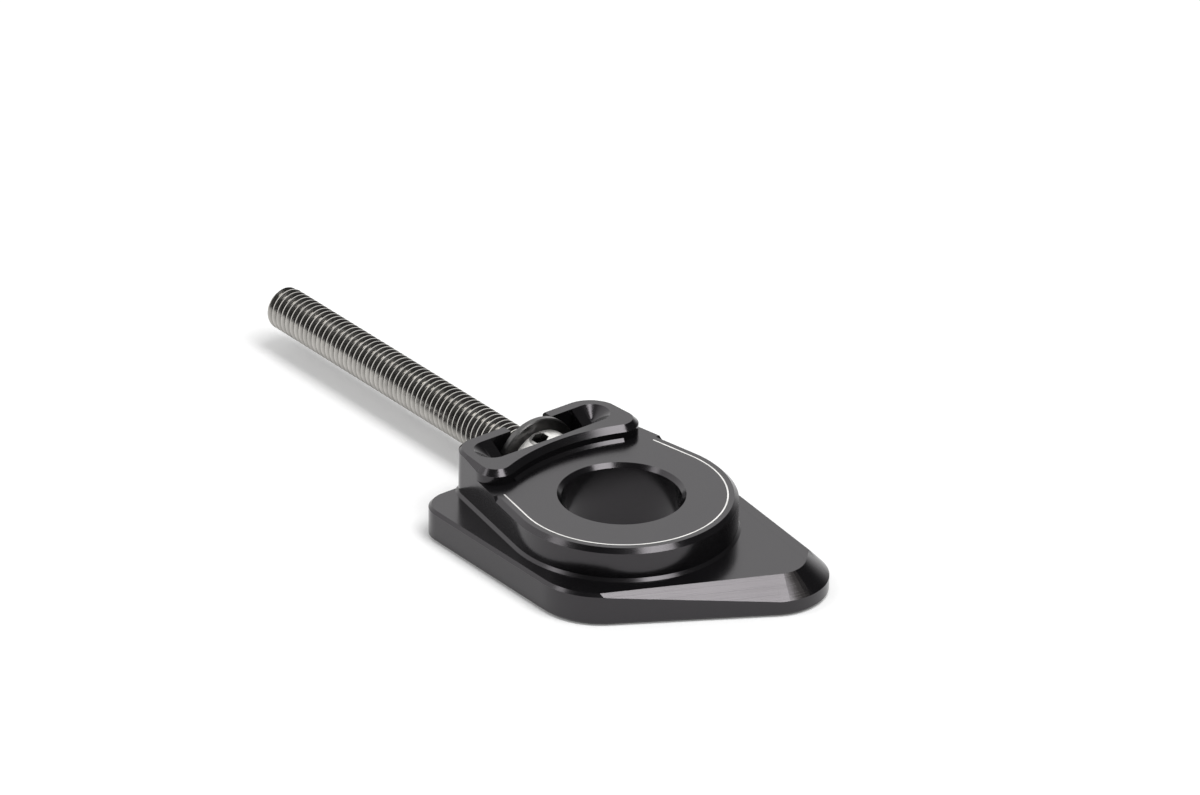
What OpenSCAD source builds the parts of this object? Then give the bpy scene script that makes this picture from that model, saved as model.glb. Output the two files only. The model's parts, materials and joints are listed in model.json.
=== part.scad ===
// Motorcycle chain adjuster: a milled axle block with a threaded spindle that turns in it.
// Origin: axle bore axis, at the underside of the base plate. X runs along the spindle,
// with its free end towards -X. Z is up, square to the base plate.

/* [Base plate] */
// Thickness of the plate
plate_t = 4.5; // [3.5:0.1:6]
// Width of the plate across its two long sides
plate_w = 34.8; // [34:0.1:44]
// Distance of the spindle-side end from the bore axis
end_x = 20.9; // [20.4:0.1:26]
// Angle of the slanted nose flank to the spindle axis
nose_a = 59; // [50:1:66]
// Distance of the nose flank from the bore axis
nose_d = 18.5; // [17.6:0.1:22]
// Radius of the pointed nose
nose_r = 7.6; // [6:0.1:9]
// Radius between the near side and the nose flank
near_r = 9.5; // [5:0.1:12]
// Distance of the slanted corner cut from the bore axis
cut_d = 23.1; // [22:0.1:26]
// Radius at both ends of the corner cut
cut_r = 3; // [1:0.1:4]
// Radius of the plain end corner
end_r = 3.8; // [1:0.1:4.5]
// Chamfer along the top edge of the plate
plate_edge = 0.4; // [0.1:0.05:0.8]
// Chamfer along the bottom edge of the plate
under_edge = 0.4; // [0.1:0.05:0.8]
// Width of the nose bevel at the tip, seen from above
bevel_w = 3; // [1:0.1:4]
// Depth of the nose bevel at the tip
bevel_h = 2.4; // [1:0.1:2.8]
// Angle by which the nose bevels widen towards the tip
bevel_a = 6.2; // [3:0.1:8]

/* [Boss] */
// Height of the boss above the plate
boss_h = 4.5; // [3:0.1:7]
// Radius of the round end of the boss
boss_r = 15.2; // [14:0.1:16]
// Angle by which the flanks close in towards the spindle
flank_a = 10.5; // [6:0.5:14]
// Chamfer along the top edge of the boss
boss_edge = 0.6; // [0.2:0.05:1]
// Distance from the bore axis at which the chamfer of the boss stops, by the bar
run_x = 9.3; // [8.5:0.1:10]
// Relief at the foot of the boss and of the bar
foot_r = 0.4; // [0.2:0.05:0.8]
// Diameter of the axle bore
bore_d = 15.7; // [14:0.1:18]
// Chamfer at the top of the bore
bore_edge = 0.55; // [0.2:0.05:1]

/* [Bar] */
// Height of the bar above the boss
bar_h = 2; // [1.2:0.1:4]
// Radius of the outer corner on the near side
bar_near_r = 3; // [1:0.1:4]
// Radius of the outer corner on the nose side
bar_far_r = 4.8; // [3.6:0.1:5]
// Chamfer along the outer top edge of the bar
bar_edge = 0.4; // [0.1:0.05:0.7]
// Distance of the hollow inner face from the bore axis, at its middle
hollow_x = 12.7; // [12.2:0.1:13]
// Radius of the hollow inner face
hollow_r = 25.2; // [20:0.1:40]
// Chamfer along the top of the hollow face
hollow_edge = 0.75; // [0.2:0.05:0.9]
// Radius of the two tips of the bar
horn_r = 2.8; // [2:0.1:3]
// Angle by which the flank chamfers widen towards the tips
horn_a = 6; // [3:0.5:8]

/* [Pocket] */
// Thickness of the outer wall of the pocket
wall_t = 1.8; // [1.2:0.1:2.2]
// Distance of the round pocket ends from the middle of the pocket
pocket_l = 8.3; // [7.8:0.1:8.8]
// Angle of the tapered pocket ends to the upright
pocket_end_a = 58; // [45:1:65]
// Thickness of the floor under the pocket
floor_t = 0.5; // [0.3:0.1:0.5]
// Gap between the washer's rim and the pocket, on both sides
rim_gap = 0.3; // [0.2:0.05:0.5]
// Gap between the spindle and its open slot, on each side
slot_gap = 0.35; // [0.2:0.05:0.6]

/* [Spindle] */
// Height of the spindle axis above the underside
spindle_z = 5.7; // [5.7:0.1:7]
// Major diameter of the thread
thread_d = 6; // [5:0.5:7]
// Length of the spindle that stands out of the block
spindle_l = 53; // [30:0.5:90]
// Chamfer at the free end of the spindle
spindle_edge = 0.6; // [0.2:0.1:1]
// Radius of the collar
collar_r = 5; // [4.6:0.1:5]
// Width of the collar
collar_w = 3.2; // [3:0.1:3.8]
// Chamfer at both edges of the collar
collar_edge = 0.4; // [0.1:0.05:0.8]
// Turn of the set screw from upright, about the spindle
screw_a = 11; // [-20:1:20]
// Diameter of the set screw
screw_d = 2.9; // [2.6:0.1:3.1]
// Width across the flats of the set screw's hexagon socket
screw_af = 2; // [1.3:0.1:2.1]
// Depth of the hexagon socket
screw_socket = 1.2; // [0.6:0.1:1.4]

/* [Washer] */
// Radius of the thrust washer
washer_r = 6.4; // [5.8:0.1:6.5]
// Thickness of the thrust washer
washer_t = 1; // [0.8:0.05:1.3]
// Chamfer at the rim of the washer
washer_edge = 0.15; // [0.05:0.05:0.3]
// Gap between the outer wall and the washer, the end float of the spindle
float_gap = 0.5; // [0.1:0.05:0.6]
// Gap between the collar and its neighbours, the washer and the inner wall
face_gap = 0.05; // [0.02:0.01:0.1]
// Gap between the flat of the washer and the pocket floor
flat_gap = 0.05; // [0.02:0.01:0.2]
// Radial running gap between the washer and the spindle
run_gap = 0.05; // [0.02:0.01:0.1]

/* [Hidden] */
$fn = 96;
eps = 0.01;
lap = 0.002;
big = 200;
boss_z = plate_t + boss_h;
bar_z = boss_z + bar_h;
slot_r = thread_d / 2 + slot_gap;
pocket_out = -(end_x - wall_t);
washer_x = pocket_out + float_gap;
collar_x = washer_x + washer_t + face_gap;
pocket_in = collar_x + collar_w + face_gap;
pocket_r = (pocket_in - pocket_out) / 2;
pocket_x = (pocket_in + pocket_out) / 2;
hollow_cx = hollow_r - hollow_x;

// Sides of an outline, counter-clockwise: [angle of the outward normal,
// distance from the bore axis, radius of the corner that follows].
plate_sides = [
    [-90, plate_w / 2, near_r],
    [nose_a - 90, nose_d, nose_r],
    [90, plate_w / 2, cut_r],
    [nose_a + 90, cut_d, cut_r],
    [180, end_x, end_r]
];
body_sides = [
    [-90 - flank_a, boss_r, boss_r],
    [90 + flank_a, boss_r, bar_far_r],
    [180, end_x, bar_near_r]
];

function dir(a) = [cos(a), sin(a)];

// Point at distance p along normal a and at distance q along normal b.
function meet(a, p, b, q) =
    [p * sin(b) - q * sin(a), q * cos(a) - p * cos(b)] / sin(b - a);

// Centre of the corner that follows side i.
function corner(sides, i) =
    let (s = sides[i], t = sides[(i + 1) % len(sides)])
    meet(s[0], s[1] - s[2], t[0], t[1] - s[2]);

// The two ends of every rounded corner, drawn in by k.
function ends(sides, k = 0) = [
    for (i = [0 : len(sides) - 1], j = [0, 1])
        corner(sides, i)
            + (sides[i][2] - k) * dir(sides[(i + j) % len(sides)][0])
];

// Centre of the rounded tip of the bar on side s, -1 near or 1 far: one tip
// radius inside the flank, and touching the hollow face.
function horn(s) =
    let (n = dir(s * (90 + flank_a)), u = [-abs(n[1]), s * n[0]],
         base = (boss_r - horn_r) * n - [hollow_cx, 0],
         b = base * u, c = base * base - pow(hollow_r + horn_r, 2))
    base + [hollow_cx, 0] + (-b + sqrt(b * b - c)) * u;

// Round of a corner: it stands proud by the lap, so that it crosses the sides cleanly.
module arc_post(r, h, k = 0) {
    cylinder(h = h, r1 = r + lap, r2 = r + lap - k);
}

// Plain prism over an outline.
module prism(sides, z0, z1) {
    translate([0, 0, z0]) linear_extrude(z1 - z0) polygon(ends(sides));
    for (i = [0 : len(sides) - 1])
        translate(concat(corner(sides, i), z0)) arc_post(sides[i][2], z1 - z0);
}

// Chamfer layer over an outline: every side leans in by k.
module taper(sides, z0, z1, k) {
    n = 2 * len(sides);
    polyhedron(
        [for (p = ends(sides)) [p[0], p[1], z0], for (p = ends(sides, k)) [p[0], p[1], z1]],
        concat(
            [[for (i = [0 : n - 1]) i], [for (i = [n - 1 : -1 : 0]) n + i]],
            [for (i = [0 : n - 1]) [i, n + i, n + (i + 1) % n, (i + 1) % n]]));
    for (i = [0 : len(sides) - 1])
        translate(concat(corner(sides, i), z0)) arc_post(sides[i][2], z1 - z0, k);
}

// Outline prism with a chamfered top edge.
module edged(sides, z0, z1, k) {
    prism(sides, z0, z1 - k);
    taper(sides, z1 - k, z1, k);
}

// Flat nose bevel along the side with its outward normal at angle a: it is as wide
// as the cone bevel where the nose arc starts, and turned to run out along the side.
module bevel_cut(a, turn) {
    c = corner(plate_sides, 1);
    slope = atan2(bevel_h, bevel_w);
    translate(concat(c + (nose_r - bevel_w) * dir(a), plate_t))
        rotate([0, 0, a + turn]) rotate([0, slope, 0])
            translate([0, -big / 2, 0]) cube(big);
}

// Cone bevel round the nose, over the wedge between the two flat bevels.
module nose_cone_cut() {
    c = corner(plate_sides, 1);
    a0 = plate_sides[1][0];
    a1 = plate_sides[2][0];
    translate(concat(c, plate_t - bevel_h)) difference() {
        linear_extrude(big) polygon([[0, 0], for (a = [a0, (a0 + a1) / 2, a1]) 3 * nose_r * dir(a)]);
        arc_post(nose_r, bevel_h, bevel_w);
    }
}

// Base plate with its bevelled nose.
module plate() {
    difference() {
        union() {
            edged(plate_sides, under_edge, plate_t, plate_edge);
            translate([0, 0, under_edge]) mirror([0, 0, 1])
                taper(plate_sides, 0, under_edge, under_edge);
        }
        bevel_cut(plate_sides[1][0], bevel_a);
        bevel_cut(plate_sides[2][0], -bevel_a);
        nose_cone_cut();
    }
}

// Boss: round end, closing flanks, small relief at its foot. Its top chamfer runs out by the bar.
module boss() {
    edged(body_sides, plate_t - eps, boss_z, boss_edge);
    intersection() {
        prism(body_sides, plate_t, boss_z);
        translate([-run_x, 0, boss_z]) rotate([0, -45, 0])
            translate([-big, -big / 2, -big / 2]) cube(big);
    }
    taper([for (s = body_sides) [s[0], s[1] + foot_r, s[2] + foot_r]],
        plate_t - eps, plate_t + foot_r, foot_r + eps);
}

// Region in front of the hollow face; its radius grows from g0 to g1 on the way up.
module hollow(z0, z1, g0, g1) {
    translate([hollow_cx, 0, z0])
        cylinder(h = z1 - z0, r1 = hollow_r + g0, r2 = hollow_r + g1);
}

// Direction from the centre of the tip on side s to the axis of the hollow face.
function inward(s) = let (d = [hollow_cx, 0] - horn(s)) atan2(d[1], d[0]);

// Wedge beyond the middle of each rounded tip.
module horn_wedge() {
    for (s = [-1, 1]) {
        n = dir(s * (90 + flank_a));
        m = dir(inward(s));
        translate(horn(s)) linear_extrude(big) polygon([[0, 0], 40 * n, 40 * (n + m), 40 * m]);
    }
}

// Chamfer of the flank on side s: as deep as the lip at the tip, and turned to run out.
module flank_cut(s) {
    a = s * (90 + flank_a);
    translate(concat(horn(s) + (horn_r - hollow_edge) * dir(a), bar_z))
        rotate([0, 0, a - s * horn_a]) rotate([0, 45, 0])
            translate([0, -big / 2, 0]) cube(big);
}

// Bar across the spindle end, with its hollow inner face and rounded tips.
module bar() {
    lip_z = bar_z - hollow_edge;
    difference() {
        edged(body_sides, plate_t, bar_z, bar_edge);
        hollow(boss_z, boss_z + foot_r, -foot_r, 0);
        hollow(boss_z + foot_r, lip_z, 0, 0);
        hollow(lip_z, bar_z, 0, hollow_edge);
        horn_wedge();
        for (s = [-1, 1]) flank_cut(s);
    }
    intersection() {
        for (s = [-1, 1]) translate(concat(horn(s), boss_z - eps))
            cylinder(h = foot_r + 2 * eps, r1 = horn_r + foot_r + eps, r2 = horn_r - eps);
        prism(body_sides, plate_t, bar_z);
    }
    for (s = [-1, 1]) translate(horn(s)) {
        translate([0, 0, plate_t]) arc_post(horn_r, lip_z - plate_t);
        translate([0, 0, lip_z]) arc_post(horn_r, hollow_edge, hollow_edge);
    }
}

// Pocket for the washer and the collar: deep in the middle down to a thin floor, with
// shallow, tapered ends at the top.
module pocket() {
    half = washer_r + rim_gap;
    depth = pocket_r / tan(pocket_end_a);
    translate([pocket_out, -half, floor_t]) cube([2 * pocket_r, 2 * half, big]);
    translate([pocket_x, 0, bar_z]) {
        rotate([90, 0, 0]) linear_extrude(2 * pocket_l, center = true)
            polygon([[-pocket_r, 0], [0, -depth], [pocket_r, 0], [pocket_r, 1], [-pocket_r, 1]]);
        for (s = [-1, 1]) translate([0, s * pocket_l, 0]) {
            translate([0, 0, -depth]) cylinder(h = depth, r1 = 0, r2 = pocket_r);
            cylinder(h = 1, r = pocket_r);
        }
    }
}

// Open slot in the outer wall, through which the spindle leaves.
module slot() {
    translate([-end_x - 1, 0, spindle_z]) {
        rotate([0, 90, 0]) cylinder(h = wall_t + 1 + eps, r = slot_r);
        translate([0, -slot_r, 0]) cube([wall_t + 1 + eps, 2 * slot_r, big]);
    }
}

module bore() {
    translate([0, 0, -1]) cylinder(h = boss_z + 2, d = bore_d);
    translate([0, 0, boss_z - bore_edge])
        cylinder(h = bore_edge + eps, d1 = bore_d, d2 = bore_d + 2 * (bore_edge + eps));
}

module axle_block() {
    color("#1b1b1d") difference() {
        union() {
            plate();
            boss();
            bar();
        }
        pocket();
        slot();
        bore();
    }
}

// Turned disc of radius r and thickness t, chamfered by k at both edges.
module turned(r, t, k) {
    cylinder(h = k, r1 = r - k, r2 = r);
    translate([0, 0, k]) cylinder(h = t - 2 * k, r = r);
    translate([0, 0, t - k]) cylinder(h = k, r1 = r, r2 = r - k);
}

// Turned disc between the collar and the outer wall. Its flat sits over the pocket
// floor, so that it stays put while the spindle turns.
module thrust_washer() {
    color("#4a4a4c") difference() {
        translate([washer_x, 0, spindle_z]) rotate([0, 90, 0]) difference() {
            turned(washer_r, washer_t, washer_edge);
            translate([0, 0, -1]) cylinder(h = washer_t + 2, r = thread_d / 2 + run_gap);
        }
        translate([washer_x - 1, -washer_r, floor_t + flat_gap - big])
            cube([washer_t + 2, 2 * washer_r, big]);
    }
}

// Threaded spindle: it ends flush with the inner face of the collar.
module spindle() {
    free_x = -end_x - spindle_l;
    color("#b9b6b0") translate([free_x, 0, spindle_z]) rotate([0, 90, 0]) {
        cylinder(h = spindle_edge, r1 = thread_d / 2 - spindle_edge, r2 = thread_d / 2);
        translate([0, 0, spindle_edge])
            cylinder(h = collar_x + collar_w - free_x - spindle_edge, r = thread_d / 2);
    }
}

// Round collar screwed on the spindle's inner end.
module collar() {
    color("#c9c7c3") difference() {
        translate([collar_x, 0, spindle_z]) rotate([0, 90, 0]) difference() {
            turned(collar_r, collar_w, collar_edge);
            translate([0, 0, -1]) cylinder(h = collar_w + 2, d = thread_d);
        }
        screw_place() translate([0, 0, thread_d / 2]) cylinder(h = big, d = screw_d);
    }
}

// Frame of the set screw: its own Z axis points out of the collar.
module screw_place() {
    translate([collar_x + collar_w / 2, 0, spindle_z]) rotate([screw_a, 0, 0]) children();
}

// Hexagon socket set screw that locks the collar.
module set_screw() {
    color("#dedcd8") screw_place() difference() {
        translate([0, 0, thread_d / 2])
            cylinder(h = collar_r - thread_d / 2 - 0.1, d = screw_d);
        translate([0, 0, collar_r - 0.1 - screw_socket])
            cylinder(h = big, d = screw_af / cos(30), $fn = 6);
    }
}

axle_block();
thrust_washer();
spindle();
collar();
set_screw();
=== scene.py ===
import json
import math

import bmesh
import bpy
from mathutils import Matrix, Vector


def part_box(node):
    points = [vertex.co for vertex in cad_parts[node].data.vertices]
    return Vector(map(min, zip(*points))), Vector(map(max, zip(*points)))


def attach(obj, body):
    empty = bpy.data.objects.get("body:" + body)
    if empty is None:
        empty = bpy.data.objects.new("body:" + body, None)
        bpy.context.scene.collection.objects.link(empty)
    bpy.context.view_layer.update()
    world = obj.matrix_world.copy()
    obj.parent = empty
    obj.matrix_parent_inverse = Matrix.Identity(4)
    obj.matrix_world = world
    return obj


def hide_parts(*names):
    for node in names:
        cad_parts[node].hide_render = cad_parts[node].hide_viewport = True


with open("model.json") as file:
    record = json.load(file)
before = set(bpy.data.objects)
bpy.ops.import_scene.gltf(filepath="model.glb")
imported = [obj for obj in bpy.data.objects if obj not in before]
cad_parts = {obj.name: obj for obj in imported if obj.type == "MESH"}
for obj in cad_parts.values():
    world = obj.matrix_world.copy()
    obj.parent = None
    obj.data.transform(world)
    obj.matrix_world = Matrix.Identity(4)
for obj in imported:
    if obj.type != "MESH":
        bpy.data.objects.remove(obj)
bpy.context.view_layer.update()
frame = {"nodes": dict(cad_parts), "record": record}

bl_info = {
    "name": "Chain Adjuster Finish",
    "version": (1, 0, 0),
    "blender": (4, 5, 0),
    "location": "View3D > Sidebar > Adjuster",
    "description": "Dresses the milled axle block, its threaded spindle and the studio around them",
    "category": "Object",
}

NODES = frame["nodes"]
MOUNTS = {mount["name"]: mount for mount in frame["record"]["mounts"]}
BOSS_Z = MOUNTS["nut_seat"]["pos_m"][2]
SPINDLE_LOW, SPINDLE_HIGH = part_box("spindle")
SPINDLE_R = (SPINDLE_HIGH.z - SPINDLE_LOW.z) / 2
SPINDLE_Z = (SPINDLE_HIGH.z + SPINDLE_LOW.z) / 2
# The nose of the base plate, as in the part's source.
PLATE_TOP = 0.0045
NOSE_CENTRE = Vector((0.0186, 0.0098))
NOSE_R = 0.0076
NOSE_BEVEL = 0.003
NOSE_DEPTH = 0.0024
NOSE_TURN = math.radians(6.2)
EDGE = 0.0004
# The way that the near bevel faces, seen from above.
NEAR_BEVEL = Vector((0.857, -0.515))
# How far up the nose bevels and the conical ends of the pocket face.
BEVEL_RISE = 0.781
CONE_RISE = 0.848
# Height at which a thin piece stands over a face, so that the two don't flicker.
LIFT = 0.000004


class BlockSettings(bpy.types.PropertyGroup):
    colour: bpy.props.FloatVectorProperty(
        name="Anodised colour", description="Colour of the dye in the anodised layer",
        subtype="COLOR", size=3, min=0, max=1, default=(0.0045, 0.0043, 0.0048))
    bevel_colour: bpy.props.FloatVectorProperty(
        name="Bevel colour", description="Colour of the brushed nose bevels",
        subtype="COLOR", size=3, min=0, max=1, default=(0.040, 0.037, 0.036))
    wall_roughness: bpy.props.FloatProperty(
        name="Wall roughness", description="Roughness of the milled walls and chamfers",
        subtype="FACTOR", min=0, max=1, default=0.17)
    face_roughness: bpy.props.FloatProperty(
        name="Face roughness", description="Roughness of the flat faces on top",
        subtype="FACTOR", min=0, max=1, default=0.18)
    bevel_roughness: bpy.props.FloatProperty(
        name="Bevel roughness", description="Roughness of the brushed nose bevels",
        subtype="FACTOR", min=0, max=1, default=0.23)
    brushing: bpy.props.FloatProperty(
        name="Brushing", description="Depth of the fine lines along the nose bevels",
        subtype="FACTOR", min=0, max=1, default=0.25)


class NoseSettings(bpy.types.PropertyGroup):
    width: bpy.props.FloatProperty(
        name="Far bevel width", description="Width of the far nose bevel where the nose arc starts",
        subtype="DISTANCE", min=0.0018, max=0.003, precision=5, default=0.00224)
    start_x: bpy.props.FloatProperty(
        name="Far bevel start", description="X at which the far nose bevel runs out",
        subtype="DISTANCE", min=-0.005, max=0.005, precision=5, default=0.0001)
    corner_x: bpy.props.FloatProperty(
        name="Far corner", description="X of the corner between the far bevel and the nose",
        subtype="DISTANCE", min=0.0186, max=0.021, precision=5, default=0.0201)


class LineSettings(bpy.types.PropertyGroup):
    radius: bpy.props.FloatProperty(
        name="Line radius", description="Radius of the engraved line round the bore",
        subtype="DISTANCE", min=0.012, max=0.0145, precision=5, default=0.01376)
    width: bpy.props.FloatProperty(
        name="Line width", description="Width of the engraved line",
        subtype="DISTANCE", min=0.0001, max=0.0006, precision=5, default=0.0002)
    end_x: bpy.props.FloatProperty(
        name="Line end", description="X at which both ends of the line stop",
        subtype="DISTANCE", min=-0.0115, max=-0.004, precision=5, default=-0.0089)
    flank: bpy.props.FloatProperty(
        name="Flank angle", description="Angle by which the straight ends close in",
        subtype="ANGLE", min=0, max=0.35, default=math.radians(10.5))
    colour: bpy.props.FloatVectorProperty(
        name="Line colour", description="Colour of the bare metal in the line",
        subtype="COLOR", size=3, min=0, max=1, default=(0.86, 0.85, 0.83))


class SpindleSettings(bpy.types.PropertyGroup):
    pitch: bpy.props.FloatProperty(
        name="Thread pitch", description="Distance between two crests of the thread",
        subtype="DISTANCE", min=0.0005, max=0.0015, precision=5, default=0.001)
    depth: bpy.props.FloatProperty(
        name="Thread depth", description="Depth of the thread",
        subtype="DISTANCE", min=0.0003, max=0.0009, precision=5, default=0.00058)
    crest: bpy.props.FloatProperty(
        name="Crest width", description="Width of the flat on each crest",
        subtype="DISTANCE", min=0.00005, max=0.0003, precision=5, default=0.00016)
    chamfer: bpy.props.FloatProperty(
        name="End chamfer", description="Chamfer at the free end of the spindle",
        subtype="DISTANCE", min=0, max=0.001, precision=5, default=0.0006)
    colour: bpy.props.FloatVectorProperty(
        name="Spindle colour", description="Colour of the stainless spindle",
        subtype="COLOR", size=3, min=0, max=1, default=(0.46, 0.445, 0.42))


class CollarSettings(bpy.types.PropertyGroup):
    washer: bpy.props.FloatVectorProperty(
        name="Washer colour", description="Colour of the dark turned washer",
        subtype="COLOR", size=3, min=0, max=1, default=(0.11, 0.108, 0.107))
    collar: bpy.props.FloatVectorProperty(
        name="Collar colour", description="Colour of the bright turned collar",
        subtype="COLOR", size=3, min=0, max=1, default=(0.88, 0.865, 0.84))
    screw: bpy.props.FloatVectorProperty(
        name="Screw colour", description="Colour of the set screw",
        subtype="COLOR", size=3, min=0, max=1, default=(0.74, 0.73, 0.71))


class StudioSettings(bpy.types.PropertyGroup):
    floor_colour: bpy.props.FloatVectorProperty(
        name="Floor colour", description="Colour of the plain floor",
        subtype="COLOR", size=3, min=0, max=1, default=(0.88, 0.88, 0.88))
    floor_glow: bpy.props.FloatProperty(
        name="Floor glow", description="Light added to the floor where it is seen or mirrored",
        min=0, max=1, default=0.40)
    softbox: bpy.props.FloatProperty(
        name="Softbox level", description="Brightness of the softbox over the nose",
        min=0, max=20, default=8.0)
    strip: bpy.props.FloatProperty(
        name="Strip level", description="Brightness of the strip light on the left",
        min=0, max=20, default=3.0)
    fill: bpy.props.FloatProperty(
        name="Fill", description="Strength of the light from all around",
        min=0, max=2, default=0.44)


class Finish:
    """The node tree of one material, with its usual nodes in short form."""

    def __init__(self, name):
        self.material = bpy.data.materials.new(name)
        self.material.use_nodes = True
        self.nodes = self.material.node_tree.nodes
        self.links = self.material.node_tree.links
        self.shader = self.nodes["Principled BSDF"]
        self.place = self.nodes.new("ShaderNodeTexCoord").outputs["Object"]

    def set(self, **values):
        for name, value in values.items():
            socket = self.shader.inputs[name.replace("_", " ")]
            if isinstance(value, bpy.types.NodeSocket):
                self.links.new(value, socket)
            else:
                socket.default_value = value

    def math(self, operation, *inputs):
        return math_node(self.nodes, self.links, operation, *inputs)

    def axes(self, vector):
        node = self.nodes.new("ShaderNodeSeparateXYZ")
        self.links.new(vector, node.inputs[0])
        return node.outputs

    def normal(self):
        return self.axes(self.nodes.new("ShaderNodeNewGeometry").outputs["True Normal"])

    def noise(self, scale, detail=2.0):
        """Noise on object coordinates, stretched by a scale for each axis."""
        mapping = self.nodes.new("ShaderNodeMapping")
        mapping.inputs["Scale"].default_value = scale
        self.links.new(self.place, mapping.inputs["Vector"])
        texture = self.nodes.new("ShaderNodeTexNoise")
        texture.inputs["Scale"].default_value = 1
        texture.inputs["Detail"].default_value = detail
        self.links.new(mapping.outputs[0], texture.inputs["Vector"])
        return texture.outputs["Fac"]

    def fan(self, scale):
        """Streaks that change only with the direction of the surface, as down the wall of a cone."""
        texture = self.nodes.new("ShaderNodeTexNoise")
        texture.inputs["Scale"].default_value = scale
        texture.inputs["Detail"].default_value = 1
        self.links.new(self.nodes.new("ShaderNodeNewGeometry").outputs["Normal"],
                       texture.inputs["Vector"])
        return texture.outputs["Fac"]

    def darken(self, fac, low=0.0):
        """Makes the base colour darker where fac is low, down to a share of itself."""
        shade = self.nodes.new("ShaderNodeMix")
        shade.data_type = "RGBA"
        shade.inputs["A"].default_value = (0, 0, 0, 1)
        self.links.new(self.level(fac, low, 1.0, 0.0, 1.0), shade.inputs["Factor"])
        self.links.new(self.shader.inputs["Base Color"].links[0].from_socket, shade.inputs["B"])
        self.set(Base_Color=shade.outputs["Result"])

    def level(self, fac, low, high, start=0.3, end=0.7):
        """A number that runs from low to high while fac runs from start to end."""
        node = self.nodes.new("ShaderNodeMapRange")
        self.links.new(fac, node.inputs["Value"])
        for name, value in (("From Min", start), ("From Max", end), ("To Min", low), ("To Max", high)):
            if isinstance(value, bpy.types.NodeSocket):
                self.links.new(value, node.inputs[name])
            else:
                node.inputs[name].default_value = value
        return node.outputs[0]

    def choose(self, mask, other, value):
        """One number or the other, by a mask."""
        return self.level(mask, other, value, 0.0, 1.0)

    def tint(self, fac, low, high):
        """A colour between two shades of one colour."""
        node = self.nodes.new("ShaderNodeValToRGB")
        for element, at, shade in zip(node.color_ramp.elements, (0.3, 0.7), (low, high)):
            element.position = at
            element.color = (*shade, 1)
        self.links.new(fac, node.inputs[0])
        return node.outputs[0]

    def bump(self, height, strength, depth):
        node = self.nodes.new("ShaderNodeBump")
        node.inputs["Strength"].default_value = strength
        node.inputs["Distance"].default_value = depth
        self.links.new(height, node.inputs["Height"])
        return node.outputs[0]


def math_node(nodes, links, operation, *inputs):
    """A math node fed by sockets or numbers."""
    node = nodes.new("ShaderNodeMath")
    node.operation = operation
    for slot, value in enumerate(inputs):
        if isinstance(value, bpy.types.NodeSocket):
            links.new(value, node.inputs[slot])
        else:
            node.inputs[slot].default_value = value
    return node.outputs[0]


def sight_mask(nodes, links):
    """One where a ray comes from the camera, a mirror or a clear piece, else zero."""
    path = nodes.new("ShaderNodeLightPath").outputs
    seen = math_node(nodes, links, "MAXIMUM", path["Is Camera Ray"], path["Is Glossy Ray"])
    return math_node(nodes, links, "MAXIMUM", seen, path["Is Transmission Ray"])


def shades(colour, low, high):
    """A colour made darker and lighter."""
    return [tuple(min(1.0, c * factor) for c in colour) for factor in (low, high)]


def dress(piece, finish):
    """Puts one finish on a piece."""
    piece.data.materials.clear()
    piece.data.materials.append(finish.material)


def new_piece(name, bm, body):
    """An object at the origin made from a bmesh, riding on a body."""
    bmesh.ops.recalc_face_normals(bm, faces=bm.faces)
    mesh = bpy.data.meshes.new(name)
    bm.to_mesh(mesh)
    bm.free()
    mesh.shade_smooth()
    mesh.set_sharp_from_angle(angle=math.radians(30))
    piece = bpy.data.objects.new(name, mesh)
    bpy.context.scene.collection.objects.link(piece)
    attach(piece, body)
    return piece


def anodised_finish(settings):
    """Black anodised aluminium: satin faces, glossy walls with upright cutter marks, brushed bevels."""
    finish = Finish("black_anodised")
    east, north, up = finish.normal()
    rise = finish.math("ABSOLUTE", up)
    face = finish.math("GREATER_THAN", rise, 0.98)
    side = finish.math("LESS_THAN", rise, 0.73)
    facing = finish.math("ADD", finish.math("MULTIPLY", east, NEAR_BEVEL.x),
                         finish.math("MULTIPLY", north, NEAR_BEVEL.y))
    bevel = finish.math("MULTIPLY", finish.math("COMPARE", rise, BEVEL_RISE, 0.03),
                        finish.level(facing, 0.0, 1.0, 0.50, 0.58))
    cone = finish.math("COMPARE", rise, CONE_RISE, 0.02)

    cloud = finish.noise((140, 140, 140), 3)
    grain = finish.noise((16000, 16000, 16000), 1)
    upright = finish.noise((5200, 5200, 90), 2)
    brushed = finish.noise((30, 30, 20000), 3)

    worn = finish.nodes.new("ShaderNodeMix")
    worn.data_type = "RGBA"
    finish.links.new(bevel, worn.inputs["Factor"])
    finish.links.new(finish.tint(cloud, *shades(settings.colour, 0.8, 1.25)), worn.inputs["A"])
    finish.links.new(finish.tint(brushed, *shades(settings.bevel_colour, 0.8, 1.2)), worn.inputs["B"])
    finish.set(IOR=1.56, Specular_Tint=(1.0, 0.95, 1.0, 1.0), Base_Color=worn.outputs["Result"])
    rough = finish.choose(face, settings.wall_roughness, settings.face_roughness)
    rough = finish.choose(bevel, rough, settings.bevel_roughness)
    patchy = finish.level(cloud, -0.02, 0.03)
    lined = finish.math("MULTIPLY", bevel, finish.level(brushed, -0.10, 0.10))
    finish.set(Roughness=finish.math("ADD", finish.math("ADD", rough, patchy), lined))

    height = finish.math("MULTIPLY", face, finish.math("MULTIPLY", grain, 0.10))
    height = finish.math("ADD", height, finish.math(
        "MULTIPLY", side, finish.math("MULTIPLY", upright, 0.12)))
    height = finish.math("ADD", height, finish.math("MULTIPLY", cone, finish.fan(30)))
    height = finish.math("ADD", height, finish.math(
        "MULTIPLY", bevel, finish.math("MULTIPLY", brushed, settings.brushing)))
    finish.set(Normal=finish.bump(height, 0.5, 0.00001))
    return finish


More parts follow.
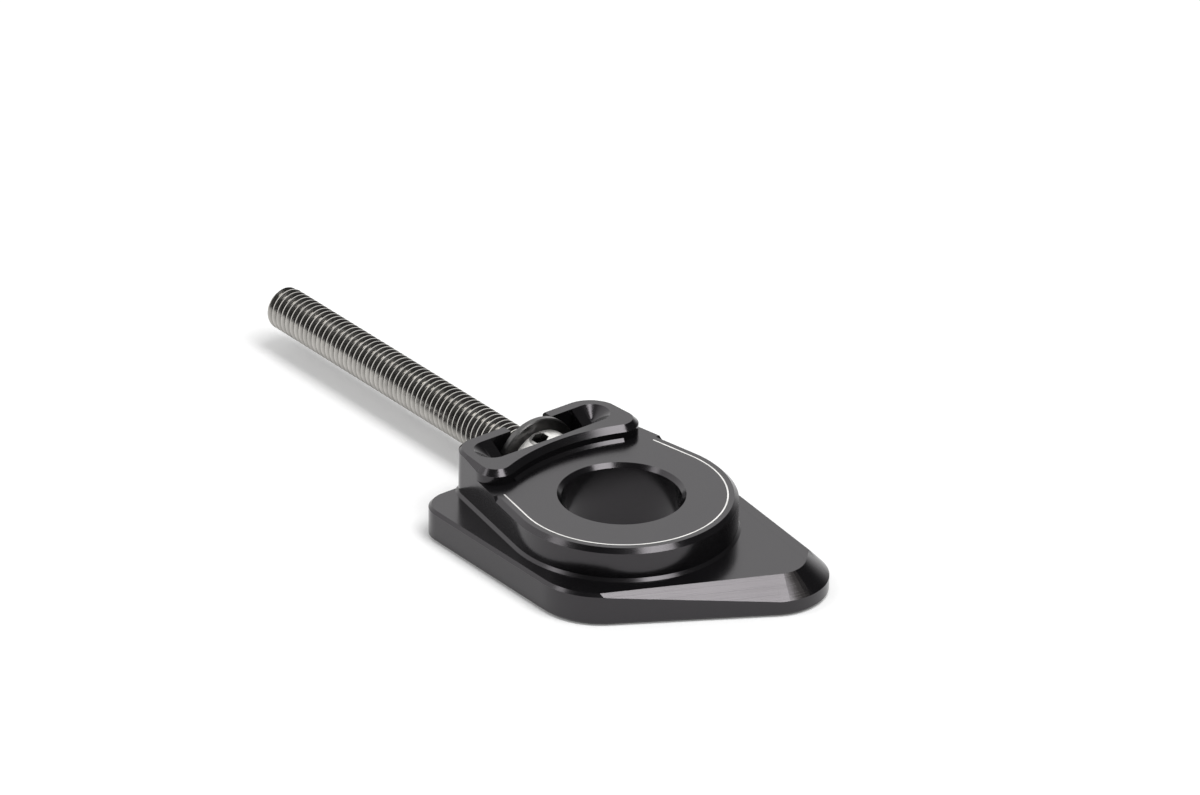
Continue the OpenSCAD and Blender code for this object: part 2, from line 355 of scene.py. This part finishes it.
def turned_steel(name, colour, roughness, streak_scale, contrast=0.12, depth=0.2):
    """Turned steel: fine streaks from the lathe, a little uneven in tone and gloss."""
    finish = Finish(name)
    streak = finish.noise(streak_scale, 3)
    cloud = finish.noise((420, 420, 420), 3)
    finish.set(Metallic=1.0, Base_Color=finish.tint(
        cloud, *shades(colour, 1 - contrast, 1 + contrast)))
    finish.set(Roughness=finish.level(streak, roughness * 0.8, roughness * 1.3))
    finish.set(Normal=finish.bump(streak, depth, 0.00001))
    return finish


class ADJUSTER_OT_block(bpy.types.Operator):
    """Give the axle block its black anodised finish"""
    bl_idname = "adjuster.block"
    bl_label = "Finish Block"

    def execute(self, context):
        dress(NODES["axle_block"], anodised_finish(context.scene.adjuster_block))
        return {"FINISHED"}


class ADJUSTER_OT_nose(bpy.types.Operator):
    """Fill the far nose bevel out to the narrower one of the photograph"""
    bl_idname = "adjuster.nose"
    bl_label = "Fill Nose Edge"

    def execute(self, context):
        settings = context.scene.adjuster_nose
        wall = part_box("axle_block")[1].y
        top, foot = PLATE_TOP + LIFT, PLATE_TOP - NOSE_DEPTH
        slope = settings.width / (NOSE_CENTRE.x - settings.start_x)
        begin = settings.start_x + EDGE / slope
        flush = NOSE_CENTRE.x - (NOSE_BEVEL - EDGE) / math.tan(NOSE_TURN)
        corner = Vector((settings.corner_x, wall - (settings.corner_x - settings.start_x) * slope))
        inner = NOSE_R - NOSE_BEVEL
        offset = corner - NOSE_CENTRE
        touch = math.atan2(offset.y, offset.x) - math.acos(inner / offset.length)
        points = []
        for x in (flush, begin):
            points += [(x, wall - EDGE, top), (x, wall, PLATE_TOP - EDGE)]
        # The last of these lies inside the plate and sinks the underside of the piece into it.
        points += [(*corner, top), (NOSE_CENTRE.x, NOSE_CENTRE.y + inner, top), (0.010, 0.015, 0.003)]
        points.append((NOSE_CENTRE.x + inner * math.cos(touch),
                       NOSE_CENTRE.y + inner * math.sin(touch), top))
        steps = 16
        for step in range(steps + 1):
            turn = touch + (math.pi / 2 - touch) * step / steps
            points.append((NOSE_CENTRE.x + NOSE_R * math.cos(turn),
                           NOSE_CENTRE.y + NOSE_R * math.sin(turn), foot))
        bm = bmesh.new()
        hull = bmesh.ops.convex_hull(bm, input=[bm.verts.new(point) for point in points])
        loose = [part for part in hull["geom_interior"] if isinstance(part, bmesh.types.BMVert)]
        bmesh.ops.delete(bm, geom=loose, context="VERTS")
        edge = new_piece("nose_edge", bm, "block")
        edge.data.set_sharp_from_angle(angle=math.radians(12))
        edge.data.materials.append(NODES["axle_block"].data.materials[0])
        return {"FINISHED"}


class ADJUSTER_OT_line(bpy.types.Operator):
    """Inlay the bright engraved line round the bore"""
    bl_idname = "adjuster.line"
    bl_label = "Engrave Line"

    def execute(self, context):
        settings = context.scene.adjuster_line
        half = settings.width / 2
        start = math.pi / 2 + settings.flank
        out = Vector((math.cos(start), math.sin(start), 0))
        bm = bmesh.new()
        corners = [bm.verts.new(out * (settings.radius + side * half) + Vector((0, 0, BOSS_Z + lift)))
                   for side, lift in ((-1, -0.00002), (-1, 0.000008), (1, 0.000008), (1, -0.00002))]
        section = [bm.edges.new((corners[i - 1], corners[i])) for i in range(4)]
        swept = bmesh.ops.spin(bm, geom=corners + section, cent=(0, 0, 0), axis=(0, 0, 1),
                               angle=-2 * start, steps=120, use_duplicate=False)["geom_last"]
        far_end = [part for part in swept if isinstance(part, bmesh.types.BMEdge)]
        length = (settings.radius * out.x - settings.end_x) / math.cos(settings.flank)
        for edges, side in ((section, 1), (far_end, -1)):
            along = Vector((-math.cos(settings.flank), -side * math.sin(settings.flank), 0))
            pulled = bmesh.ops.extrude_edge_only(bm, edges=edges)["geom"]
            bmesh.ops.translate(bm, vec=along * length,
                                verts=[part for part in pulled if isinstance(part, bmesh.types.BMVert)])
        bmesh.ops.holes_fill(bm, edges=[edge for edge in bm.edges if edge.is_boundary], sides=4)
        line = new_piece("engraved_line", bm, "block")
        dress(line, turned_steel("bare_line", settings.colour, 0.42, (3000, 3000, 3000)))
        return {"FINISHED"}


class ADJUSTER_OT_spindle(bpy.types.Operator):
    """Cut the thread on the spindle"""
    bl_idname = "adjuster.spindle"
    bl_label = "Thread Spindle"

    def execute(self, context):
        settings = context.scene.adjuster_spindle
        pitch = settings.pitch
        root = SPINDLE_R - settings.depth
        turns = int((SPINDLE_HIGH.x - SPINDLE_LOW.x) / pitch) + 4
        around = 56
        flank = (pitch - settings.crest) / 2
        bm = bmesh.new()
        tooth = [bm.verts.new((SPINDLE_LOW.x - 2 * pitch + x, 0, r)) for x, r in (
            (0, root), (flank, SPINDLE_R), (flank + settings.crest, SPINDLE_R), (pitch, root))]
        edges = [bm.edges.new(pair) for pair in zip(tooth, tooth[1:])]
        bmesh.ops.spin(bm, geom=tooth + edges, cent=(0, 0, 0), axis=(1, 0, 0),
                       dvec=(pitch / around, 0, 0), angle=2 * math.pi * turns,
                       steps=around * turns, use_duplicate=False)
        bmesh.ops.remove_doubles(bm, verts=bm.verts, dist=0.000002)
        for x, side in ((SPINDLE_LOW.x, -1), (SPINDLE_HIGH.x, 1)):
            cut = bmesh.ops.bisect_plane(bm, geom=bm.verts[:] + bm.edges[:] + bm.faces[:],
                                         plane_co=(x, 0, 0), plane_no=(side, 0, 0),
                                         clear_outer=True, dist=1e-7)
            rim = [part for part in cut["geom_cut"] if isinstance(part, bmesh.types.BMEdge)]
            bmesh.ops.holes_fill(bm, edges=rim, sides=0)
        for vert in bm.verts:
            inward = vert.co.x - SPINDLE_LOW.x
            limit = SPINDLE_R - settings.chamfer + inward
            radial = vert.co.yz
            if inward < settings.chamfer and radial.length > limit:
                vert.co.yz = radial * (limit / radial.length)
        bmesh.ops.translate(bm, verts=bm.verts, vec=(0, 0, SPINDLE_Z))
        spindle = new_piece("threaded_spindle", bm, "spindle")
        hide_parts("spindle")
        finish = turned_steel("stainless_thread", settings.colour, 0.2, (6000, 900, 900), depth=0.06)
        _, across, up = finish.axes(finish.place)
        radial = finish.math("SQRT", finish.math("ADD", finish.math("POWER", across, 2.0), finish.math(
            "POWER", finish.math("SUBTRACT", up, SPINDLE_Z), 2.0)))
        # Painted shade: the thread is darker towards its roots, for the shade down in the grooves.
        finish.darken(finish.level(radial, 0.0, 1.0, root, SPINDLE_R), 0.30)
        dress(spindle, finish)
        return {"FINISHED"}


class ADJUSTER_OT_collar(bpy.types.Operator):
    """Finish the washer, the collar and the set screw"""
    bl_idname = "adjuster.collar"
    bl_label = "Finish Collar"

    def execute(self, context):
        settings = context.scene.adjuster_collar
        dress(NODES["thrust_washer"], turned_steel(
            "dark_washer", settings.washer, 0.36, (900, 5000, 5000), 0.25, 0.5))
        dress(NODES["collar"], turned_steel(
            "turned_collar", settings.collar, 0.42, (14000, 500, 500), 0.05))
        dress(NODES["set_screw"], self.screw_finish(settings))
        return {"FINISHED"}

    def screw_finish(self, settings):
        """Bright steel with painted shade that makes it darker down in the socket."""
        finish = turned_steel("bright_screw", settings.screw, 0.30, (2500, 2500, 2500), 0.06)
        _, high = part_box("set_screw")
        # Painted shade: the colour darkens with depth below the top of the screw.
        finish.darken(finish.level(finish.axes(finish.place)[2], 0.0, 1.0,
                                   high.z - 0.0009, high.z - 0.0003), 0.08)
        return finish


class ADJUSTER_OT_studio(bpy.types.Operator):
    """Set up the floor, the soft lights, the world and the camera"""
    bl_idname = "adjuster.studio"
    bl_label = "Build Studio"

    def execute(self, context):
        settings = context.scene.adjuster_studio
        scene = context.scene
        scene.view_settings.view_transform = "Standard"
        self.floor(settings)
        self.world(scene, settings)
        self.lights(settings)
        self.camera(scene)
        return {"FINISHED"}

    def floor(self, settings):
        bm = bmesh.new()
        bmesh.ops.create_grid(bm, x_segments=1, y_segments=1, size=1.2)
        mesh = bpy.data.meshes.new("floor")
        bm.to_mesh(mesh)
        bm.free()
        floor = bpy.data.objects.new("floor", mesh)
        bpy.context.scene.collection.objects.link(floor)
        floor.location.z = -0.0001
        finish = Finish("pale_floor")
        # The floor glows most where the softbox reaches it least, and not down in the bore.
        across, deep, _ = finish.axes(finish.place)
        away = finish.math("SQRT", finish.math("ADD", finish.math(
            "POWER", finish.math("SUBTRACT", across, 0.2), 2.0), finish.math("POWER", deep, 2.0)))
        inside = finish.math("SQRT", finish.math("ADD", finish.math(
            "POWER", across, 2.0), finish.math("POWER", deep, 2.0)))
        glow = finish.level(away, 0.25 * settings.floor_glow, settings.floor_glow, 0.15, 0.60)
        glow = finish.math("MULTIPLY", glow, finish.math("GREATER_THAN", inside, 0.008))
        seen = sight_mask(finish.nodes, finish.links)
        finish.set(Base_Color=(*settings.floor_colour, 1), Roughness=0.9, Specular_IOR_Level=0.0,
                   Emission_Color=(1, 1, 1, 1),
                   Emission_Strength=finish.math("MULTIPLY", seen, glow))
        mesh.materials.append(finish.material)

    def world(self, scene, settings):
        world = bpy.data.worlds.new("soft_room")
        world.use_nodes = True
        scene.world = world
        nodes, links = world.node_tree.nodes, world.node_tree.links
        path = nodes.new("ShaderNodeLightPath").outputs
        direction = nodes.new("ShaderNodeSeparateXYZ")
        links.new(nodes.new("ShaderNodeTexCoord").outputs["Generated"], direction.inputs[0])

        def math_of(operation, *inputs):
            return math_node(nodes, links, operation, *inputs)

        # The room is bright on the spindle's side and falls off towards the nose.
        room = nodes.new("ShaderNodeMapRange")
        room.interpolation_type = "SMOOTHSTEP"
        links.new(direction.outputs[0], room.inputs["Value"])
        for name, value in (("From Min", -0.6), ("From Max", 0.05), ("To Min", 1.28), ("To Max", 0.05)):
            room.inputs[name].default_value = value
        plain = math_of("MAXIMUM", path["Is Camera Ray"], path["Is Transmission Ray"])
        strength = math_of("ADD", settings.fill, math_of("MULTIPLY", plain, 1 - settings.fill))
        strength = math_of("ADD", strength, math_of("MULTIPLY", path["Is Glossy Ray"], math_of(
            "SUBTRACT", room.outputs[0], settings.fill)))
        links.new(strength, nodes["Background"].inputs["Strength"])
        nodes["Background"].inputs["Color"].default_value = (1, 1, 1, 1)

    def lights(self, settings):
        for name, where, size, level in (
                ("high_softbox", (0.22, 0.04, 0.60), (0.26, 0.44), settings.softbox),
                ("left_strip", (-0.20, -0.42, 0.52), (0.12, 0.40), settings.strip),
        ):
            light = bpy.data.lights.new(name, "AREA")
            light.shape = "RECTANGLE"
            light.size, light.size_y = size
            light.energy = level * math.pi * size[0] * size[1]
            lamp = bpy.data.objects.new(name, light)
            bpy.context.scene.collection.objects.link(lamp)
            lamp.location = where
            lamp.rotation_euler = (-Vector(where)).to_track_quat("-Z", "Y").to_euler()

    def camera(self, scene):
        # The photograph's camera, fitted to its 1200 x 795 frame with the thread as the scale.
        turn, rise, roll = (math.radians(a) for a in (51.224, 28.055, 0.788))
        distance, focal, frame_w, frame_h = 1.04618, 8054.74, 1200, 795
        origin_px = (620.772, 553.859)
        along = Vector((math.cos(turn), math.sin(turn), 0))
        toward = Vector((math.sin(turn), -math.cos(turn), 0))
        back = toward * math.cos(rise) + Vector((0, 0, math.sin(rise)))
        up = -toward * math.sin(rise) + Vector((0, 0, math.cos(rise)))
        right_axis = along * math.cos(roll) + up * math.sin(roll)
        up_axis = -along * math.sin(roll) + up * math.cos(roll)
        off_x = (origin_px[0] - frame_w / 2) * distance / focal
        off_y = -(origin_px[1] - frame_h / 2) * distance / focal
        place = -off_x * right_axis - off_y * up_axis + distance * back
        data = bpy.data.cameras.new("studio_camera")
        data.sensor_width = 36
        data.lens = focal * 36 / frame_w
        data.clip_start = 0.05
        camera = bpy.data.objects.new("studio_camera", data)
        scene.collection.objects.link(camera)
        camera.matrix_world = Matrix((
            (right_axis.x, up_axis.x, back.x, place.x),
            (right_axis.y, up_axis.y, back.y, place.y),
            (right_axis.z, up_axis.z, back.z, place.z),
            (0, 0, 0, 1)))
        scene.camera = camera


class ADJUSTER_PT_panel(bpy.types.Panel):
    """Lists the steps that dress the adjuster"""
    bl_idname = "ADJUSTER_PT_panel"
    bl_label = "Chain Adjuster"
    bl_space_type = "VIEW_3D"
    bl_region_type = "UI"
    bl_category = "Adjuster"

    def draw(self, context):
        for group, operator in STEPS:
            settings = getattr(context.scene, group)
            box = self.layout.box()
            for key in settings.__annotations__:
                box.prop(settings, key)
            box.operator(operator.bl_idname)


STEPS = (
    ("adjuster_block", ADJUSTER_OT_block),
    ("adjuster_nose", ADJUSTER_OT_nose),
    ("adjuster_line", ADJUSTER_OT_line),
    ("adjuster_spindle", ADJUSTER_OT_spindle),
    ("adjuster_collar", ADJUSTER_OT_collar),
    ("adjuster_studio", ADJUSTER_OT_studio),
)
GROUPS = {
    "adjuster_block": BlockSettings,
    "adjuster_nose": NoseSettings,
    "adjuster_line": LineSettings,
    "adjuster_spindle": SpindleSettings,
    "adjuster_collar": CollarSettings,
    "adjuster_studio": StudioSettings,
}
CLASSES = (*GROUPS.values(), *(operator for _, operator in STEPS), ADJUSTER_PT_panel)


def register():
    for cls in CLASSES:
        bpy.utils.register_class(cls)
    for name, group in GROUPS.items():
        setattr(bpy.types.Scene, name, bpy.props.PointerProperty(type=group))


def unregister():
    for name in GROUPS:
        delattr(bpy.types.Scene, name)
    for cls in reversed(CLASSES):
        bpy.utils.unregister_class(cls)


def main():
    register()
    bpy.ops.adjuster.studio()
    bpy.ops.adjuster.block()
    bpy.ops.adjuster.nose()
    bpy.ops.adjuster.line()
    bpy.ops.adjuster.spindle()
    bpy.ops.adjuster.collar()
    bpy.context.view_layer.update()


if __name__ == "__main__":
    main()
